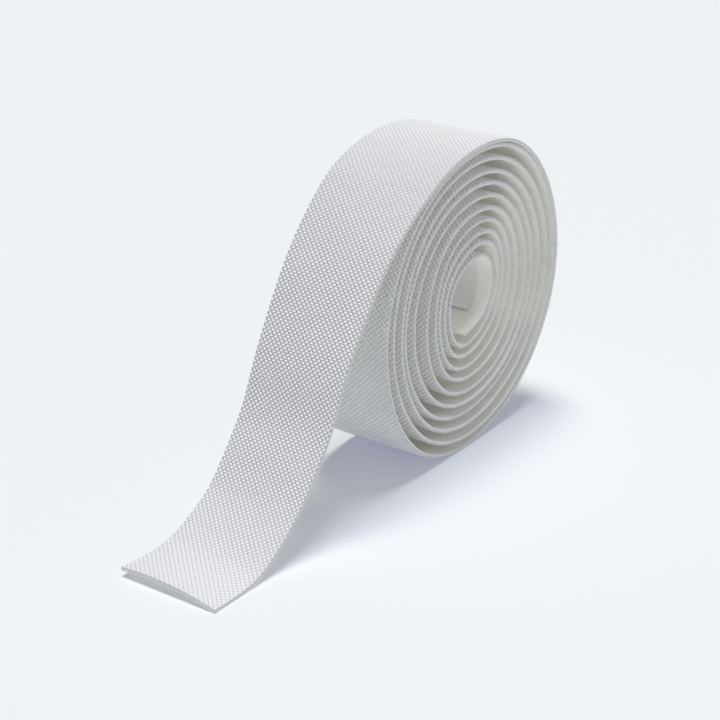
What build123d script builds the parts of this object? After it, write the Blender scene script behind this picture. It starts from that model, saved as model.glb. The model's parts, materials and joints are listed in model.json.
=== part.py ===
from build123d import *
import os
import numpy as np

# A grip tape standing on edge: a loose flat spiral with its outer end hanging
# down to the left and lying out flat. The tape is two bonded layers, an
# embossed outer skin on a non-woven carrier, with a short starter adhesive
# and its release liner on the inner end. Millimetres, +Z up, the roll's axis
# along Y, the free end towards -X.

tape_width = 25.0
skin_thickness = 0.35
carrier_thickness = 0.45
tape_thickness = skin_thickness + carrier_thickness

adhesive_width = 18.0
adhesive_thickness = 0.12
liner_thickness = 0.10
starter_setback = 7.0   # from the tape's inner end to the adhesive
starter_length = 40.0

longest_arc = 12.0      # of the arcs that the tape's outline is drawn with
widest_arc = 20.0       # the degrees that one of them turns

segment_gap = 0.3       # between two bodies at a hinge line
tail_hinge_run = 119.0  # along the tape from its outer end
tip_hinge_run = 17.5

# The wound carrier is cut into nodes after these turns; the last is the tape's end.
carrier_turns = (1, 3, 5, 7, 11)

roll_centre_height = 36.75
free_end_reach = 94.3   # from the roll's axis to the tape's outer end

# Radius of the tape's mid line at six places round each turn, from the
# outermost turn inwards, and the angle of those places above the +X axis.
turn_angles = (60, 0, -60, -120, -180, -240)
turn_radii = (
    (37.1, 35.9, 35.2, 37.4, 35.3, 34.3),
    (35.9, 34.7, 33.5, 34.2, 32.8, 32.4),
    (32.6, 31.5, 30.0, 31.3, 29.9, 29.5),
    (29.5, 28.0, 26.5, 28.6, 28.5, 27.4),
    (26.7, 24.7, 24.0, 25.5, 24.7, 24.2),
    (23.9, 21.9, 21.7, 22.4, 20.2, 21.0),
    (21.0, 18.1, 18.1, 19.1, 16.6, 17.7),
    (18.4, 14.8, 14.5, 16.7, 15.1, 15.2),
    (15.6, 11.4, 10.9, 13.9, 13.1, 12.9),
    (13.1, 9.0, 8.3, 11.4, 10.6, 10.2),
    (9.9, 6.4, 5.6, 8.5),
)

# The free run, as distances left of the roll's axis and heights above the
# ground, from the outer end up to where it meets the top of the roll.
free_run = (
    (free_end_reach, 0.75),
    (86.3, 0.45),
    (78.6, 1.7),
    (72.6, 4.8),
    (67.4, 8.5),
    (59.7, 17.0),
    (55.1, 23.3),
    (50.5, 32.8),
    (45.0, 42.2),
    (37.6, 52.9),
    (29.2, 61.4),
    (17.4, 69.1),
    (6.8, 72.3),
)


def route_points():
    """The tape's mid line from its outer end to its inner end."""
    points = [(-left, up) for left, up in free_run]
    for radii in turn_radii:
        for angle, radius in zip(turn_angles, radii):
            turned = np.radians(angle)
            across = radius * np.cos(turned)
            up = roll_centre_height + radius * np.sin(turned)
            points.append((across, up))
    return np.array(points)


def cubic_through(knots, values, at):
    """A natural cubic spline through the values, and its slope."""
    step = np.diff(knots)
    rise = np.diff(values) / step
    count = len(knots)
    matrix = np.eye(count)
    right = np.zeros(count)
    for i in range(1, count - 1):
        matrix[i, i - 1 : i + 2] = step[i - 1], 2 * (step[i - 1] + step[i]), step[i]
        right[i] = 6 * (rise[i] - rise[i - 1])
    bend = np.linalg.solve(matrix, right)
    i = np.clip(np.searchsorted(knots, at) - 1, 0, count - 2)
    a = knots[i + 1] - at
    b = at - knots[i]
    h = step[i]
    value = (bend[i] * a**3 + bend[i + 1] * b**3) / (6 * h)
    value += (values[i] / h - bend[i] * h / 6) * a
    value += (values[i + 1] / h - bend[i + 1] * h / 6) * b
    slope = (bend[i + 1] * b**2 - bend[i] * a**2) / (2 * h)
    slope += rise[i] - (bend[i + 1] - bend[i]) * h / 6
    return value, slope


def mid_line(samples=6000):
    """Places on the mid line, its outward normals and the run to each."""
    points = route_points()
    chord = np.hypot(*np.diff(points, axis=0).T)
    knots = np.concatenate([[0], np.cumsum(chord)])
    at = np.linspace(0, knots[-1], samples)
    x, dx = cubic_through(knots, points[:, 0], at)
    z, dz = cubic_through(knots, points[:, 1], at)
    speed = np.hypot(dx, dz)
    run = np.concatenate([[0], np.cumsum(np.hypot(np.diff(x), np.diff(z)))])
    return np.c_[x, z], np.c_[-dz, dx] / speed[:, None], run


centres, normals, runs = mid_line()
tape_length = runs[-1]


def run_after_turns(turns):
    """The run where the tape has gone round this many times from the tail's hinge."""
    heading = np.unwrap(np.arctan2(normals[:, 1], normals[:, 0]))
    turned = abs(heading - np.interp(tail_hinge_run, runs, heading)) / (2 * np.pi)
    wound = runs > tail_hinge_run
    return np.interp(turns, turned[wound], runs[wound])


def place(run, offset):
    """The point at a run along the tape, offset outwards from its mid line."""
    middle = [np.interp(run, runs, centres[:, k]) for k in (0, 1)]
    outward = [np.interp(run, runs, normals[:, k]) for k in (0, 1)]
    return Vector(middle[0] + offset * outward[0], -tape_width / 2, middle[1] + offset * outward[1])


def arc_ends(marks):
    """Runs where two arcs of the tape's outline meet: at the marks and between them."""
    heading = np.unwrap(np.arctan2(normals[:, 1], normals[:, 0]))
    turned = np.concatenate([[0], np.cumsum(np.abs(np.diff(heading)))])
    arcs = runs / longest_arc + np.degrees(turned) / widest_arc
    ends = []
    for start, end in zip(marks, marks[1:]):
        first, last = np.interp((start, end), runs, arcs)
        count = int(np.ceil(last - first))
        between = np.linspace(first, last, count + 1)[1:-1]
        ends += [start, *np.interp(between, arcs, runs)]
    return [*ends, marks[-1]]


def outline(ends, offset):
    """A chain of arcs along the tape."""
    arcs = []
    for start, end in zip(ends, ends[1:]):
        points = [place(run, offset) for run in (start, (start + end) / 2, end)]
        arcs.append(Edge.make_three_point_arc(*points))
    return arcs


def layer(start, end, outside, inside, width):
    """One layer of the tape between two runs, as wide as width."""
    ends = [run for run in all_ends if start <= run <= end]
    edges = outline(ends, outside) + outline(ends, inside)
    for run in (start, end):
        edges.append(Edge.make_line(place(run, outside), place(run, inside)))
    strip = Solid.extrude(Face(Wire(edges)), Vector(0, width, 0))
    return strip.moved(Location((0, (tape_width - width) / 2, 0)))


skin_out = tape_thickness / 2
bond = skin_out - skin_thickness
carrier_in = -tape_thickness / 2
adhesive_in = carrier_in - adhesive_thickness
liner_in = adhesive_in - liner_thickness

half_gap = segment_gap / 2
stretches = {
    "tip": (0, tip_hinge_run - half_gap),
    "tail": (tip_hinge_run + half_gap, tail_hinge_run - half_gap),
    "outer_turn": (tail_hinge_run + half_gap, run_after_turns(1)),
    "wound": (run_after_turns(1), tape_length),
}
starter_end = tape_length - starter_setback
starter = (starter_end - starter_length, starter_end)
carrier_cuts = [run_after_turns(turns) for turns in carrier_turns[:-1]] + [tape_length]
marks = {mark for stretch in (*stretches.values(), starter, carrier_cuts) for mark in stretch}
all_ends = arc_ends(sorted(marks))

nodes = {}
for name, (start, end) in stretches.items():
    nodes[name + "_skin"] = layer(start, end, skin_out, bond, tape_width)
    if name != "wound":
        nodes[name + "_carrier"] = layer(start, end, bond, carrier_in, tape_width)
for first, last, start, end in zip(carrier_turns, carrier_turns[1:], carrier_cuts, carrier_cuts[1:]):
    nodes[f"turns_{first + 1}_{last}_carrier"] = layer(start, end, bond, carrier_in, tape_width)
nodes["starter_adhesive"] = layer(*starter, carrier_in, adhesive_in, adhesive_width)
nodes["release_liner"] = layer(*starter, adhesive_in, liner_in, adhesive_width)

# The origin is under the middle of the whole object, on the ground.
boxes = [shape.bounding_box() for shape in nodes.values()]
left = min(box.min.X for box in boxes)
right = max(box.max.X for box in boxes)
ground = min(box.min.Z for box in boxes)
shift = Vector(-(left + right) / 2, 0, -ground)
os.makedirs("parts", exist_ok=True)
for name, shape in nodes.items():
    export_step(shape.moved(Location(shift)), f"parts/{name}.step")


def hinge_place(run):
    """A hinge line on the tape's outer face."""
    line = centres + skin_out * normals
    x = np.interp(run, runs, line[:, 0]) + shift.X
    z = np.interp(run, runs, line[:, 1]) + shift.Z
    return round(float(x), 3), round(float(z), 3)


print("tape length", round(float(tape_length), 1), "width over all", round(right - left, 2))
print("roll axis at", round(shift.X, 3), round(roll_centre_height + shift.Z, 3))
print("tail hinge", hinge_place(tail_hinge_run), "tip hinge", hinge_place(tip_hinge_run))
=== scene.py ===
import json
import math
import bmesh
import bpy
import numpy as np
from mathutils import Vector
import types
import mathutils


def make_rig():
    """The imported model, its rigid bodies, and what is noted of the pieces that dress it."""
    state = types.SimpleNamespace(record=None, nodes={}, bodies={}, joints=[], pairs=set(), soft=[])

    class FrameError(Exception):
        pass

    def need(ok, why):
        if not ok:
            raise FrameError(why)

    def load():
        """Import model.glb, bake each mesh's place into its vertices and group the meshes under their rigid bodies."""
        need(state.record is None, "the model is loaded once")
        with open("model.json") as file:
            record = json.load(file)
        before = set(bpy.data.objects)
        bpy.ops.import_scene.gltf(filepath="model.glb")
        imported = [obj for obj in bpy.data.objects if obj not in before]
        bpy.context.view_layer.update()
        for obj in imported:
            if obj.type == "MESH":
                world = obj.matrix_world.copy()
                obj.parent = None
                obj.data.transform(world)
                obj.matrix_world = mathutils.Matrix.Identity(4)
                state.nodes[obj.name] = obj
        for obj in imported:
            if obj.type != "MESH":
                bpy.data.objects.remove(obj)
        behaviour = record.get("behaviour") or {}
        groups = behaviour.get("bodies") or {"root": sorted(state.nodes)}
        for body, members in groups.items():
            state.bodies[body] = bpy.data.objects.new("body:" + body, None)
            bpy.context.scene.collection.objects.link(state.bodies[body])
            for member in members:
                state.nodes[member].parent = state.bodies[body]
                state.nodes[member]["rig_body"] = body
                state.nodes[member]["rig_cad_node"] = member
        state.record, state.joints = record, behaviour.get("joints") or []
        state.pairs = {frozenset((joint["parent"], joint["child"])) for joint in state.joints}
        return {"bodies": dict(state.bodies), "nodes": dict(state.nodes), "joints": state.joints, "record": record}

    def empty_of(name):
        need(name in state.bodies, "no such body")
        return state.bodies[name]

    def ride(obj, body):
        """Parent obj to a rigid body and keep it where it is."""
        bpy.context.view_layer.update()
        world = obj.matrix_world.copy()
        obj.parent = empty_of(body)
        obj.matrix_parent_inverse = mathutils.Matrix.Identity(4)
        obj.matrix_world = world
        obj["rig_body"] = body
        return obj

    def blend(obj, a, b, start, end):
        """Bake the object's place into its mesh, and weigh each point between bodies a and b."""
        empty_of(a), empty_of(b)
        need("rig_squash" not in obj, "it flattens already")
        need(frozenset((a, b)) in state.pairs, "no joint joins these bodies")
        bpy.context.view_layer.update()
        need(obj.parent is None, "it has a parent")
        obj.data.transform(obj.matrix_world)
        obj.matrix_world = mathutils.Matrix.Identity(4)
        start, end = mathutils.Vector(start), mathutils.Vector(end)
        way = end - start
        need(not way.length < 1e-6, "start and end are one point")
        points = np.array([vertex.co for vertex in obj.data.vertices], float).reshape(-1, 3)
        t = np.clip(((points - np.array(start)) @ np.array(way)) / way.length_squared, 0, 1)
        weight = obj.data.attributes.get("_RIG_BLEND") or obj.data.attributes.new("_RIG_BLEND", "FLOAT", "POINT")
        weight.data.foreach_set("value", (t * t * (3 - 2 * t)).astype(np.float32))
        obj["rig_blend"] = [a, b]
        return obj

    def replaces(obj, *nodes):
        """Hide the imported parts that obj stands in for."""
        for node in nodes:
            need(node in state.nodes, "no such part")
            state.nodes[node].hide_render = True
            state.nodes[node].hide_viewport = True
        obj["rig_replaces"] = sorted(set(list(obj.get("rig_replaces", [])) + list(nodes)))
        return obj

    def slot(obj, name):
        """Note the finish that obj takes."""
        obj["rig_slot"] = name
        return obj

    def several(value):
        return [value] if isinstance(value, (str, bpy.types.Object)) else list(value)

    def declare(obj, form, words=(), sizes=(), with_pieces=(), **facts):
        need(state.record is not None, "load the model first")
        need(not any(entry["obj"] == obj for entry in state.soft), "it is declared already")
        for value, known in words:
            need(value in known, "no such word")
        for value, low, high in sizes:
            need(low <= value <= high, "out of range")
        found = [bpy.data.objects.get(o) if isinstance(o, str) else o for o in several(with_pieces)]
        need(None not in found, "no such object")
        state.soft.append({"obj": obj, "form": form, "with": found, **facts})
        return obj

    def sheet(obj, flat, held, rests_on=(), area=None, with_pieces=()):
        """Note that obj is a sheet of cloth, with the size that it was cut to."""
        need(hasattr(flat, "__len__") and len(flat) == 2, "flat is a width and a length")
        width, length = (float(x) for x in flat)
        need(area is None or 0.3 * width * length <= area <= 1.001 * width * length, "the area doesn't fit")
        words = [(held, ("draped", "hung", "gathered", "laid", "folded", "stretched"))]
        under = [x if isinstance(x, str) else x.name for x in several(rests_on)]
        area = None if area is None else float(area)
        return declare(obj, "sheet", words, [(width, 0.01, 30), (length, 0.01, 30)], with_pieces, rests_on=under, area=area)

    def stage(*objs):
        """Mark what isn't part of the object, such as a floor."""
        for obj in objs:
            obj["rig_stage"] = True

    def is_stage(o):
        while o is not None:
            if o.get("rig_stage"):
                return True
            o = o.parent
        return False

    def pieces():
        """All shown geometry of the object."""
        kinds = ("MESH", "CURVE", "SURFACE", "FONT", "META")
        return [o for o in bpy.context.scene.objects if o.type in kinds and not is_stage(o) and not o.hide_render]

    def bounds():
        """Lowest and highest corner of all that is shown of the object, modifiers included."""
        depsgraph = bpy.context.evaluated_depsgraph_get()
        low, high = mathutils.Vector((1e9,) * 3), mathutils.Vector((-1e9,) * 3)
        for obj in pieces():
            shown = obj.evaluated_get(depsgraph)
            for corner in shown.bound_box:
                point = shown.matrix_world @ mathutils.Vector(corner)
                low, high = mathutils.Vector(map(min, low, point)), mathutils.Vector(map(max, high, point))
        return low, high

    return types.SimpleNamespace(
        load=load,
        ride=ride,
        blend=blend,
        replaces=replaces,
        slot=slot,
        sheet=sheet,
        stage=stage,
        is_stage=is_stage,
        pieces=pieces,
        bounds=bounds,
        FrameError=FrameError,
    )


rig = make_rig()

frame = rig.load()
cadBox = [list(corner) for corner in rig.bounds()]
mm = 0.001

# the tape's run, as the roll was wound: radii at six places round each turn
winding = {
    "angles": (60, 0, -60, -120, -180, -240),
    "radii": (
        (37.1, 35.9, 35.2, 37.4, 35.3, 34.3),
        (35.9, 34.7, 33.5, 34.2, 32.8, 32.4),
        (32.6, 31.5, 30.0, 31.3, 29.9, 29.5),
        (29.5, 28.0, 26.5, 28.6, 28.5, 27.4),
        (26.7, 24.7, 24.0, 25.5, 24.7, 24.2),
        (23.9, 21.9, 21.7, 22.4, 20.2, 21.0),
        (21.0, 18.1, 18.1, 19.1, 16.6, 17.7),
        (18.4, 14.8, 14.5, 16.7, 15.1, 15.2),
        (15.6, 11.4, 10.9, 13.9, 13.1, 12.9),
        (13.1, 9.0, 8.3, 11.4, 10.6, 10.2),
        (9.9, 6.4, 5.6, 8.5),
    ),
    "axisHeight": 36.75,
    # the free run, from its outer end up to the top of the roll
    "freeRun": (
        (94.3, 0.75), (86.3, 0.45), (78.6, 1.7), (72.6, 4.8), (67.4, 8.5),
        (59.7, 17.0), (55.1, 23.3), (50.5, 32.8), (45.0, 42.2), (37.6, 52.9),
        (29.2, 61.4), (17.4, 69.1), (6.8, 72.3),
    ),
    "tailHinge": 0.119,
}

layers = {
    "width": 0.025,
    "thickness": 0.0008,
    "skin": 0.00035,
    "adhesive": 0.00012,
    "liner": 0.0001,
    "starterWidth": 0.018,
    "starterSetback": 0.007,
    "starterLength": 0.040,
    "linerPeel": 0.0009,
    "edgeFade": (0.00009, 0.00003),
    "rowSpacing": 0.0006,
}

emboss = {
    "alongPitch": 0.001266,
    "acrossPitch": 0.001292,
    "depth": 0.00022,
    "cross": 0.55,
    "perPitchAlong": 8,
    "perPitchAcross": 4,
    "nearReach": 0.0075,
    "farReach": 0.003,
}

# how the free run leans across its width, by run, and how strongly it is embossed;
# sway is the slight sideways wander of the wound turns: reach, waves per metre, start
posture = {
    "run": (0.0, 0.012, 0.030, 0.060, 0.085, 0.105, 0.122, 0.140),
    "twist": (0.00067, 0.0003, -0.0009, -0.0008, 0.0002, 0.0014, 0.0006, 0.0),
    "rise": (0.00042, 0.00036, 0.0, 0.0, 0.0, 0.0, 0.0, 0.0),
    "crown": (0.0010, 0.0004, 0.0, 0.0, 0.0, 0.0, 0.0, 0.0),
    "relief": (0.2, 0.3, 0.7, 1.0, 1.0, 1.0, 1.0, 1.0),
    "sway": ((0.00012, 61, 0), (0.0001, 23.7, 1)),
    "swayFrom": 0.12,
    "swayFade": 0.05,
    "peelReach": 0.006,
}


def cubicThrough(knots, values, at):
    step = np.diff(knots)
    rise = np.diff(values) / step
    n = len(knots)
    matrix, right = np.eye(n), np.zeros(n)
    for i in range(1, n - 1):
        matrix[i, i - 1 : i + 2] = step[i - 1], 2 * (step[i - 1] + step[i]), step[i]
        right[i] = 6 * (rise[i] - rise[i - 1])
    bend = np.linalg.solve(matrix, right)
    i = np.clip(np.searchsorted(knots, at) - 1, 0, n - 2)
    a, b, h = knots[i + 1] - at, at - knots[i], step[i]
    value = (bend[i] * a**3 + bend[i + 1] * b**3) / (6 * h)
    value += (values[i] / h - bend[i] * h / 6) * a
    value += (values[i + 1] / h - bend[i + 1] * h / 6) * b
    slope = (bend[i + 1] * b**2 - bend[i] * a**2) / (2 * h)
    return value, slope + rise[i] - (bend[i + 1] - bend[i]) * h / 6


def windRoute():
    points = [(-left, up) for left, up in winding["freeRun"]]
    for turn in winding["radii"]:
        for angle, r in zip(winding["angles"], turn):
            t = math.radians(angle)
            points.append((r * math.cos(t), winding["axisHeight"] + r * math.sin(t)))
    points = np.array(points) * mm
    knots = np.concatenate([[0], np.cumsum(np.hypot(*np.diff(points, axis=0).T))])
    at = np.linspace(0, knots[-1], 24000)
    x, dx = cubicThrough(knots, points[:, 0], at)
    z, dz = cubicThrough(knots, points[:, 1], at)
    speed = np.hypot(dx, dz)
    run = np.concatenate([[0], np.cumsum(np.hypot(np.diff(x), np.diff(z)))])
    return np.c_[x, z], np.c_[-dz, dx] / speed[:, None], run


routePlace, routeOut, routeRun = windRoute()
hinge = next(j for j in frame["joints"] if j["name"] == "tail_lift")["pos_m"]
outerFace = routePlace + routeOut * layers["thickness"] / 2
atHinge = [np.interp(winding["tailHinge"], routeRun, outerFace[:, k]) for k in (0, 1)]
rollShift = np.array([hinge[0] - atHinge[0], hinge[2] - atHinge[1]])
routePlace = routePlace + rollShift
rollAxis = (rollShift[0], winding["axisHeight"] * mm + rollShift[1])
tapeLength = float(routeRun[-1])
print(f"tape {tapeLength * 1000:.0f} mm, roll axis {rollAxis[0]:.4f} {rollAxis[1]:.4f}")


def onRoute(runs):
    place = np.c_[[np.interp(runs, routeRun, routePlace[:, k]) for k in (0, 1)]].T
    out = np.c_[[np.interp(runs, routeRun, routeOut[:, k]) for k in (0, 1)]].T
    return place, out / np.linalg.norm(out, axis=1)[:, None]


class Socket:
    # a value in a node tree; Python arithmetic on it adds Math nodes
    def __init__(self, tree, end):
        self.tree, self.end = tree, end

    def _math(self, operation, *values):
        return self.tree.node("ShaderNodeMath", dict(enumerate(values)), operation=operation)

    def __add__(self, other):
        return self._math("ADD", self, other)

    def __sub__(self, other):
        return self._math("SUBTRACT", self, other)

    def __rsub__(self, other):
        return self._math("SUBTRACT", other, self)

    def __mul__(self, other):
        return self._math("MULTIPLY", self, other)

    def __truediv__(self, other):
        return self._math("DIVIDE", self, other)

    __radd__ = __add__
    __rmul__ = __mul__

    def cos(self):
        return self._math("COSINE", self)

    def size(self):
        return self._math("ABSOLUTE", self)

    def band(self, low, high, bottom=0.0, top=1.0):
        values = {0: self, 1: low, 2: high, 3: bottom, 4: top}
        return self.tree.node("ShaderNodeMapRange", values, interpolation_type="SMOOTHSTEP")

    def part(self, which):
        return self.tree.node("ShaderNodeSeparateXYZ", {0: self}, out=which)


class Tree:
    def __init__(self, nodeTree):
        self.nodes, self.links = nodeTree.nodes, nodeTree.links

    def node(self, kind, values=None, out=0, **settings):
        made = self.nodes.new(kind)
        for name, setting in settings.items():
            setattr(made, name, setting)
        for name, value in (values or {}).items():
            if isinstance(value, Socket):
                self.links.new(value.end, made.inputs[name])
            elif value is not None:
                made.inputs[name].default_value = value
        return Socket(self, made.outputs[out]) if len(made.outputs) else made


def sweepTree():
    # sweeps a section along the tape's run and raises the grip pattern on it
    group = bpy.data.node_groups.new("tapeSweep", "GeometryNodeTree")
    face = group.interface
    face.new_socket("Run", in_out="INPUT", socket_type="NodeSocketGeometry")
    face.new_socket("Section", in_out="INPUT", socket_type="NodeSocketObject")
    for name in ("Along Pitch", "Across Pitch", "Depth", "Cross", "Half Width"):
        face.new_socket(name, in_out="INPUT", socket_type="NodeSocketFloat")
    face.new_socket("Finish", in_out="INPUT", socket_type="NodeSocketMaterial")
    face.new_socket("Tape", in_out="OUTPUT", socket_type="NodeSocketGeometry")
    tree = Tree(group)
    entry = group.nodes.new("NodeGroupInput")

    def given(name):
        return Socket(tree, entry.outputs[name])

    def stored(name, kind="FLOAT"):
        return tree.node("GeometryNodeInputNamedAttribute", {"Name": name}, data_type=kind)

    rail = tree.node("GeometryNodeMeshToCurve", {"Mesh": given("Run")})
    shape = tree.node("GeometryNodeObjectInfo", {"Object": given("Section")}, out="Geometry")
    loop = tree.node("GeometryNodeMeshToCurve", {"Mesh": shape})
    body = tree.node("GeometryNodeCurveToMesh",
                     {"Curve": rail, "Profile Curve": loop, "Fill Caps": True})
    along, across, lift = stored("along"), stored("across"), stored("lift")
    a = along * (2 * math.pi) / given("Along Pitch")
    b = across * (2 * math.pi) / given("Across Pitch")
    pattern = (a.cos() * b.cos() * 2 + (a * 2).cos() * given("Cross")) / (2 + emboss["cross"])
    side = across / given("Half Width")
    rise = lift + pattern * given("Depth") * stored("raised") * stored("relief")
    rise = rise + stored("twist") * side + stored("crown") * (1 - side * side)
    rise = rise + stored("rise") - stored("peel")
    drift = stored("sway") + across
    outward = tree.node("ShaderNodeVectorMath",
                        {0: stored("outward", "FLOAT_VECTOR"), 3: rise}, operation="SCALE")
    sideways = tree.node("ShaderNodeCombineXYZ", {"Y": drift})
    place = tree.node("ShaderNodeVectorMath",
                      {0: stored("place", "FLOAT_VECTOR"), 1: outward}, operation="ADD")
    place = tree.node("ShaderNodeVectorMath", {0: place, 1: sideways}, operation="ADD")
    body = tree.node("GeometryNodeSetPosition", {"Geometry": body, "Position": place})
    spot = tree.node("ShaderNodeCombineXYZ", {"X": across, "Y": along, "Z": lift})
    body = tree.node("GeometryNodeStoreNamedAttribute",
                     {"Geometry": body, "Name": "tapeSpot", "Value": spot},
                     data_type="FLOAT_VECTOR", domain="POINT")
    flat = tree.node("ShaderNodeCombineXYZ", {"X": across * 8 + 0.5, "Y": along / 2})
    body = tree.node("GeometryNodeStoreNamedAttribute",
                     {"Geometry": body, "Name": "UVMap", "Value": flat},
                     data_type="FLOAT2", domain="CORNER")
    body = tree.node("GeometryNodeRealizeInstances", {"Geometry": body})
    body = tree.node("GeometryNodeSetMaterial", {"Geometry": body, "Material": given("Finish")})
    leave = group.nodes.new("NodeGroupOutput")
    tree.links.new(body.end, leave.inputs[0])
    return group


sweep = sweepTree()


def lineObject(name, points, closed, floats=None, vectors=None):
    mesh = bpy.data.meshes.new(name)
    n = len(points)
    edges = [(i, i + 1) for i in range(n - 1)] + ([(n - 1, 0)] if closed else [])
    mesh.from_pydata([tuple(p) for p in points], edges, [])
    for key, values in (floats or {}).items():
        mesh.attributes.new(key, "FLOAT", "POINT").data.foreach_set(
            "value", np.asarray(values, np.float32))
    for key, values in (vectors or {}).items():
        mesh.attributes.new(key, "FLOAT_VECTOR", "POINT").data.foreach_set(
            "vector", np.asarray(values, np.float32).ravel())
    made = bpy.data.objects.new(name, mesh)
    bpy.context.scene.collection.objects.link(made)
    return made


def runLine(name, start, end, spacing, peel=0.0):
    # a stretch of the tape's run, with what the sweep needs at each place
    n = max(2, int(round((end - start) / spacing)) + 1)
    runs = np.linspace(start, end, n)
    place, out = onRoute(runs)
    zero = np.zeros(n)
    sway = sum(reach * np.sin(runs * waves + phase) for reach, waves, phase in posture["sway"])
    sway *= np.clip((runs - posture["swayFrom"]) / posture["swayFade"], 0, 1)
    near = (runs - end + posture["peelReach"]) / posture["peelReach"]
    floats = {"along": runs, "sway": sway, "peel": peel * np.clip(near, 0, 1) ** 2}
    for key in ("twist", "crown", "rise", "relief"):
        floats[key] = np.interp(runs, posture["run"], posture[key])
    vectors = {
        "place": np.c_[place[:, 0], zero, place[:, 1]],
        "outward": np.c_[out[:, 0], zero, out[:, 1]],
    }
    return lineObject(name, vectors["place"], False, floats, vectors)


def sectionLoop(name, upper, lower, wide, columns, soften=0.00005):
    # a closed section, clockwise: the upper side's columns, then the lower side
    half = wide / 2
    top = [(x, upper, 1.0) for x in columns if abs(x) < half - 2.2 * soften]
    loop = [(-half, upper - soften, 0.5), (-half + soften, upper, 0.8)] + top
    loop += [(half - soften, upper, 0.8), (half, upper - soften, 0.5)]
    loop += [(half, lower + soften, 0), (half - soften, lower, 0)]
    loop += [(x, lower, 0) for x in np.linspace(half, -half, 7)[1:-1]]
    loop += [(-half + soften, lower, 0), (-half, lower + soften, 0)]
    loop = np.array(loop)
    return lineObject(name, np.c_[loop[:, 0], loop[:, 1], np.zeros(len(loop))], True,
                      {"across": loop[:, 0], "lift": loop[:, 1], "raised": loop[:, 2]})


def sweepTape(name, start, end, section, spacing, finish, depth=0.0, peel=0.0):
    line = runLine(name + "Line", start, end, spacing, peel)
    modifier = line.modifiers.new("sweep", "NODES")
    modifier.node_group = sweep
    keys = {s.name: s.identifier for s in sweep.interface.items_tree if s.in_out == "INPUT"}
    values = {
        "Section": section,
        "Along Pitch": emboss["alongPitch"],
        "Across Pitch": emboss["acrossPitch"],
        "Depth": depth,
        "Cross": emboss["cross"],
        "Half Width": layers["width"] / 2,
        "Finish": finish,
    }
    for key, value in values.items():
        modifier[keys[key]] = value
    scene = bpy.context.evaluated_depsgraph_get()
    mesh = bpy.data.meshes.new_from_object(line.evaluated_get(scene))
    piece = bpy.data.objects.new(name, mesh)
    bpy.context.scene.collection.objects.link(piece)
    bpy.data.objects.remove(line)
    return piece


def closeShell(piece):
    # the swept shell turned outwards, smooth except round its end caps
    shell = bmesh.new()
    shell.from_mesh(piece.data)
    bmesh.ops.recalc_face_normals(shell, faces=shell.faces)
    for face in shell.faces:
        face.smooth = len(face.verts) == 4
        if len(face.verts) > 4:
            for edge in face.edges:
                edge.smooth = False
    shell.to_mesh(piece.data)
    shell.free()


def newFinish(name, **fixed):
    made = bpy.data.materials.new(name)
    made.use_nodes = True
    tree = Tree(made.node_tree)
    shader = made.node_tree.nodes["Principled BSDF"]
    for key, value in fixed.items():
        label = {"Specular": "Specular IOR Level"}.get(key, key.replace("_", " "))
        shader.inputs[label].default_value = value
    return made, tree, shader


def tapeSpot(tree):
    # where a point lies on the tape: across it, along it and through it
    spot = tree.node("ShaderNodeAttribute", attribute_name="tapeSpot", out="Vector")
    return spot, spot.part("X"), spot.part("Y"), spot.part("Z")


def blendColour(tree, amount, low, high):
    return tree.node("ShaderNodeMix", {0: amount, 6: (*low, 1), 7: (*high, 1)}, out=2,
                     data_type="RGBA")


def rawEdge(tree, across, colour, edgeColour):
    # the cut side of the tape shows its own colour; also gives where that is
    half = layers["width"] / 2
    edge = across.size().band(half - layers["edgeFade"][0], half - layers["edgeFade"][1])
    cut = tree.node("ShaderNodeMix", {0: edge, 6: colour, 7: (*edgeColour, 1)}, out=2,
                    data_type="RGBA")
    return edge, cut


def grain(tree, spot, scale, detail=3.0, stretch=(1, 1, 1), rough=0.55):
    # noise laid along the tape, so that it turns with the roll
    laid = tree.node("ShaderNodeVectorMath", {0: spot, 1: stretch}, operation="MULTIPLY")
    return tree.node("ShaderNodeTexNoise", {"Vector": laid, "Scale": scale, "Detail": detail,
                                            "Roughness": rough}, out="Fac")


grip = {
    "crest": (0.90, 0.905, 0.925),
    # painted shade: the colour that the emboss valleys are darkened to, where shade falls in them
    "valley": (0.63, 0.635, 0.66),
    "cutEdge": (0.70, 0.70, 0.695),
    "valleyFrom": 0.0,
    "valleyTo": 0.42,
    "poreScale": 5200,
    "mottleScale": 170,
    "mottle": 0.035,
    "roughCrest": 0.40,
    "roughValley": 0.62,
    "poreShare": 0.1,
    "cellDepth": 0.00014,
    "faceFade": (0.00012, 0.00004),
}


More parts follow.
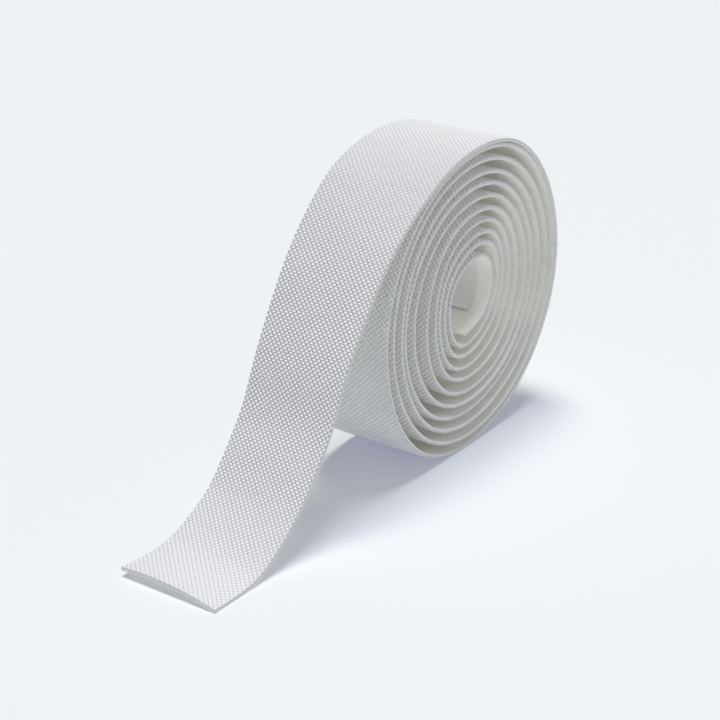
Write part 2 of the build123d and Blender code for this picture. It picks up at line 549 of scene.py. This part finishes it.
def gripMaterial():
    # embossed polyurethane: polished crests, dull valleys coloured darker as painted shade, fine pores, a raw cut edge
    made, tree, shader = newFinish("embossedGrip", Specular=0.4)
    spot, across, along, lift = tapeSpot(tree)
    a = along * (2 * math.pi / emboss["alongPitch"])
    b = across * (2 * math.pi / emboss["acrossPitch"])
    cell = ((a + b) / 2).cos().size() * ((a - b) / 2).cos().size()
    outer = lift.band(topFace - grip["faceFade"][0], topFace - grip["faceFade"][1])
    crest = cell.band(grip["valleyFrom"], grip["valleyTo"])
    crest = 1 - outer * (1 - crest)
    pores = grain(tree, spot, grip["poreScale"], 2.0)
    mottle = grain(tree, spot, grip["mottleScale"], 3.0, (1, 0.6, 1))
    # the colour runs from the painted valley shade up to the crest colour, with random mottle and pores on top
    tone = crest + (mottle - 0.5) * (2 * grip["mottle"]) + (pores - 0.5) * 0.10
    colour = blendColour(tree, tone, grip["valley"], grip["crest"])
    edge, cut = rawEdge(tree, across, colour, grip["cutEdge"])
    tree.links.new(cut.end, shader.inputs["Base Color"])
    rough = grip["roughValley"] - crest * (grip["roughValley"] - grip["roughCrest"])
    rough = rough + (pores - 0.5) * 0.15 + edge * 0.2
    tree.links.new(rough.end, shader.inputs["Roughness"])
    relief = tree.node("ShaderNodeBump", {"Height": cell * outer + pores * grip["poreShare"],
                                          "Strength": 1.0, "Distance": grip["cellDepth"]})
    tree.links.new(relief.end, shader.inputs["Normal"])
    return made


carrier = {
    "pale": (0.93, 0.93, 0.865),
    "deep": (0.80, 0.80, 0.73),
    "cutEdge": (0.74, 0.74, 0.725),
    "glow": (0.05, 0.05, 0.047),  # faint emission in place of daylight through the tape
    "fibreScale": 900,
    "cloudScale": 260,
    "fibreDepth": 0.00004,
    "roughness": 0.82,
}


def carrierMaterial():
    # non-woven backing: short fibres lying both ways over a cloudy ground
    made, tree, shader = newFinish("nonWovenCarrier", Specular=0.25, Emission_Strength=1.0,
                                   Emission_Color=(*carrier["glow"], 1))
    spot, across = tapeSpot(tree)[:2]
    lengthways = grain(tree, spot, carrier["fibreScale"], 3.0, (6, 1, 1))
    crossways = grain(tree, spot, carrier["fibreScale"], 3.0, (1.3, 5, 1))
    cloud = grain(tree, spot, carrier["cloudScale"], 4.0)
    fibre = lengthways * 0.55 + crossways * 0.45
    tone = fibre.band(0.36, 0.62) * 0.55 + cloud.band(0.3, 0.7) * 0.45
    colour = blendColour(tree, tone, carrier["deep"], carrier["pale"])
    edge, cut = rawEdge(tree, across, colour, carrier["cutEdge"])
    tree.links.new(cut.end, shader.inputs["Base Color"])
    tree.links.new((carrier["roughness"] + (cloud - 0.5) * 0.2).end, shader.inputs["Roughness"])
    relief = tree.node("ShaderNodeBump", {"Height": fibre, "Strength": 0.7,
                                          "Distance": carrier["fibreDepth"]})
    tree.links.new(relief.end, shader.inputs["Normal"])
    return made


film = {
    "pale": (0.88, 0.885, 0.88),
    "deep": (0.82, 0.825, 0.815),
    "glue": (0.84, 0.84, 0.80),
    "glueDeep": (0.76, 0.76, 0.715),
    "creaseScale": 220,
    "blotchScale": 420,
}


def linerMaterial():
    # siliconised film: satin, with faint creases across it
    made, tree, shader = newFinish("releaseLiner", Coat_Weight=0.25, Coat_Roughness=0.25)
    spot = tapeSpot(tree)[0]
    crease = grain(tree, spot, film["creaseScale"], 2.0, (0.35, 2.2, 1))
    tree.links.new(blendColour(tree, crease, film["deep"], film["pale"]).end,
                   shader.inputs["Base Color"])
    tree.links.new((0.28 + crease * 0.16).end, shader.inputs["Roughness"])
    relief = tree.node("ShaderNodeBump", {"Height": crease, "Strength": 0.5, "Distance": 0.0001})
    tree.links.new(relief.end, shader.inputs["Normal"])
    return made


def adhesiveMaterial():
    # tacky acrylic: glossy patches where it has wetted the liner
    made, tree, shader = newFinish("tackyAdhesive", Specular=0.5)
    spot = tapeSpot(tree)[0]
    blotch = grain(tree, spot, film["blotchScale"], 4.0).band(0.4, 0.6)
    tree.links.new(blendColour(tree, blotch, film["glueDeep"], film["glue"]).end,
                   shader.inputs["Base Color"])
    tree.links.new((0.55 - blotch * 0.3).end, shader.inputs["Roughness"])
    return made


topFace = layers["thickness"] / 2
bondFace = topFace - layers["skin"]
lowFace = -layers["thickness"] / 2
glueFace = lowFace - layers["adhesive"]
linerFace = glueFace - layers["liner"]
gripFinish, carrierFinish = gripMaterial(), carrierMaterial()
linerFinish, adhesiveFinish = linerMaterial(), adhesiveMaterial()
print("finishes made")

columnStep = emboss["acrossPitch"] / emboss["perPitchAcross"]
fineColumns = np.arange(-60, 61) * columnStep
nearLimit = -layers["width"] / 2 + emboss["nearReach"]
farLimit = layers["width"] / 2 - emboss["farReach"]
woundColumns = [x for x in fineColumns if x < nearLimit or x > farLimit]
woundColumns = sorted(woundColumns + list(np.linspace(-0.003, 0.008, 5)))
fineSection = sectionLoop("fineSection", topFace, bondFace, layers["width"], fineColumns)
woundSection = sectionLoop("woundSection", topFace, bondFace, layers["width"], woundColumns)
carrierSection = sectionLoop("carrierSection", bondFace, lowFace, layers["width"],
                             np.linspace(-0.01, 0.01, 5))
starterColumns, starterSoften = np.linspace(-0.007, 0.007, 5), 0.00002
glueSection = sectionLoop("glueSection", lowFace, glueFace, layers["starterWidth"],
                          starterColumns, starterSoften)
linerSection = sectionLoop("linerSection", glueFace, linerFace, layers["starterWidth"],
                           starterColumns, starterSoften)

rowStep = emboss["alongPitch"] / emboss["perPitchAlong"]


def snap(run):
    # seams stand on a crest line of the pattern
    half = emboss["alongPitch"] / 2
    return round(run / half) * half


# where the tape is divided into pieces, along its run
cuts = {
    "tip": 0.060,
    "firstTurn": (0.15, 0.33),
    "beforeLowest": 0.010,
    "pastLowest": 0.112,
    "middleTurns": 0.80,
    "innerTurns": 1.17,
    "tipBend": (0.008, -0.008),
    "tailBend": (0.006, -0.012),
}
below = (routeRun > cuts["firstTurn"][0]) & (routeRun < cuts["firstTurn"][1])
lowestRun = routeRun[below][np.argmin(routePlace[below][:, 1])]
seams = [0.0, snap(cuts["tip"]), snap(lowestRun - cuts["beforeLowest"]),
         snap(lowestRun + cuts["pastLowest"]), snap(cuts["middleTurns"]),
         snap(cuts["innerTurns"]), tapeLength]
skinNames = ("gripTip", "gripTail", "gripOuterTurn", "gripMiddleTurns", "gripInnerTurns",
             "gripCoreTurns")
skins = {}
for i, name in enumerate(skinNames):
    fine = i < 3
    skins[name] = sweepTape(name, seams[i], seams[i + 1], fineSection if fine else woundSection,
                            rowStep if fine else rowStep * 2, gripFinish, emboss["depth"])
carrierSeams = [0.0, seams[1], seams[2], tapeLength]
carriers = {}
for i, name in enumerate(("carrierTip", "carrierTail", "carrierCoil")):
    carriers[name] = sweepTape(name, carrierSeams[i], carrierSeams[i + 1], carrierSection,
                               layers["rowSpacing"], carrierFinish)
starterEnd = tapeLength - layers["starterSetback"]
starterStart = starterEnd - layers["starterLength"]
adhesive = sweepTape("starterAdhesive", starterStart, starterEnd, glueSection,
                     layers["rowSpacing"], adhesiveFinish)
liner = sweepTape("releaseLiner", starterStart, starterEnd, linerSection,
                  layers["rowSpacing"], linerFinish, peel=layers["linerPeel"])
pieces = {**skins, **carriers, "starterAdhesive": adhesive, "releaseLiner": liner}
for section in (fineSection, woundSection, carrierSection, glueSection, linerSection):
    bpy.data.objects.remove(section)
for name, piece in pieces.items():
    closeShell(piece)
    print(name, len(piece.data.polygons), "faces")

tailPoint, tipPoint = (next(j for j in frame["joints"] if j["name"] == name)["pos_m"]
                       for name in ("tail_lift", "tip_lift"))
for name in ("gripTip", "carrierTip"):
    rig.blend(pieces[name], "tail", "tip",
             *((tipPoint[0] + bend, 0, 0) for bend in cuts["tipBend"]))
for name in ("gripTail", "carrierTail"):
    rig.blend(pieces[name], "coil", "tail",
             *((tailPoint[0] + bend, 0, 0) for bend in cuts["tailBend"]))
for name in skinNames[2:] + ("carrierCoil", "starterAdhesive", "releaseLiner"):
    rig.ride(pieces[name], "coil")

standsFor = {
    "gripTip": ("tip_skin",),
    "gripTail": ("tail_skin",),
    "gripOuterTurn": ("outer_turn_skin",),
    "gripMiddleTurns": ("wound_skin",),
    "carrierTip": ("tip_carrier",),
    "carrierTail": ("tail_carrier",),
    "carrierCoil": ("outer_turn_carrier", "turns_2_3_carrier", "turns_4_5_carrier",
                    "turns_6_7_carrier", "turns_8_11_carrier"),
    "starterAdhesive": ("starter_adhesive",),
    "releaseLiner": ("release_liner",),
}
for name, nodes in standsFor.items():
    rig.replaces(pieces[name], *nodes)
for piece in skins.values():
    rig.slot(piece, "skin")
for piece in carriers.values():
    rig.slot(piece, "carrier")
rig.slot(adhesive, "adhesive")
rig.slot(liner, "liner")
print("tape built")

# the table it stands on; its faint emission keeps the shadow pale and bluish
tableTop = {"reach": 60.0, "colour": (0.723, 0.755, 0.726), "glow": (0.13, 0.128, 0.18)}
floorMesh = bpy.data.meshes.new("floor")
corners = [(x * tableTop["reach"], y * tableTop["reach"], 0)
           for x, y in ((-1, -1), (1, -1), (1, 1), (-1, 1))]
floorMesh.from_pydata(corners, [], [(0, 1, 2, 3)])
floor = bpy.data.objects.new("floor", floorMesh)
bpy.context.scene.collection.objects.link(floor)
table = newFinish("paleTable", Base_Color=(*tableTop["colour"], 1), Roughness=1.0, Specular=0.0,
                  Emission_Color=(*tableTop["glow"], 1), Emission_Strength=1.0)
floorMesh.materials.append(table[0])
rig.stage(floor)

# the tape as cut, bond by bond
wide = layers["width"]
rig.sheet(carriers["carrierTip"], flat=(wide, seams[1]), held="laid",
         rests_on=["floor"], with_pieces=[skins["gripTip"]])
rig.sheet(carriers["carrierTail"], flat=(wide, seams[2] - seams[1]), held="draped",
         rests_on=["carrierCoil"], with_pieces=[skins["gripTail"]])
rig.sheet(carriers["carrierCoil"], flat=(wide, tapeLength - seams[2]), held="laid",
         rests_on=["floor"], with_pieces=[skins[name] for name in skinNames[2:]] + [adhesive])
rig.sheet(liner, flat=(layers["starterWidth"], layers["starterLength"]), held="laid",
         rests_on=["starterAdhesive"])

studio = {
    "dome": (0.10, 0.102, 0.108),
    "bounces": 12,
    "lamps": {
        "overhead": {"from": (0.03, 0.02, 1.0), "colour": (0.57, 0.585, 0.65), "softness": 24},
        "overheadWarm": {"from": (0.08, 0.20, 1.0), "colour": (0.22, 0.20, 0.135), "softness": 16},
        "front": {"from": (0.1, -1.0, 0.75), "colour": (0.20, 0.20, 0.197), "softness": 110},
    },
}
bpy.context.scene.cycles.diffuse_bounces = studio["bounces"]
world = bpy.data.worlds.new("studio")
bpy.context.scene.world = world
world.use_nodes = True
world.node_tree.nodes["Background"].inputs["Color"].default_value = (*studio["dome"], 1)
for name, lamp in studio["lamps"].items():
    light = bpy.data.objects.new(name, bpy.data.lights.new(name, "SUN"))
    light.data.energy = math.pi
    light.data.color = lamp["colour"]
    light.data.angle = math.radians(lamp["softness"])
    light.rotation_euler = Vector(lamp["from"]).to_track_quat("Z", "Y").to_euler()
    bpy.context.scene.collection.objects.link(light)

shot = {
    "fromRoll": (-0.3258, -0.21525, 0.1882),
    "turn": 54.14,
    "down": 23.53,
    "lens": 90,
}
camera = bpy.data.objects.new("camera", bpy.data.cameras.new("camera"))
camera.data.lens = shot["lens"]
camera.data.sensor_width = 36
camera.location = (rollAxis[0] + shot["fromRoll"][0], shot["fromRoll"][1], shot["fromRoll"][2])
camera.rotation_euler = (math.radians(90 - shot["down"]), 0, math.radians(-shot["turn"]))
bpy.context.scene.collection.objects.link(camera)
bpy.context.scene.camera = camera
bpy.context.scene.view_settings.view_transform = "Standard"

visualBox = [list(corner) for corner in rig.bounds()]
with open("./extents.json", "w") as out:
    json.dump({"cad": cadBox, "visual": visualBox}, out)
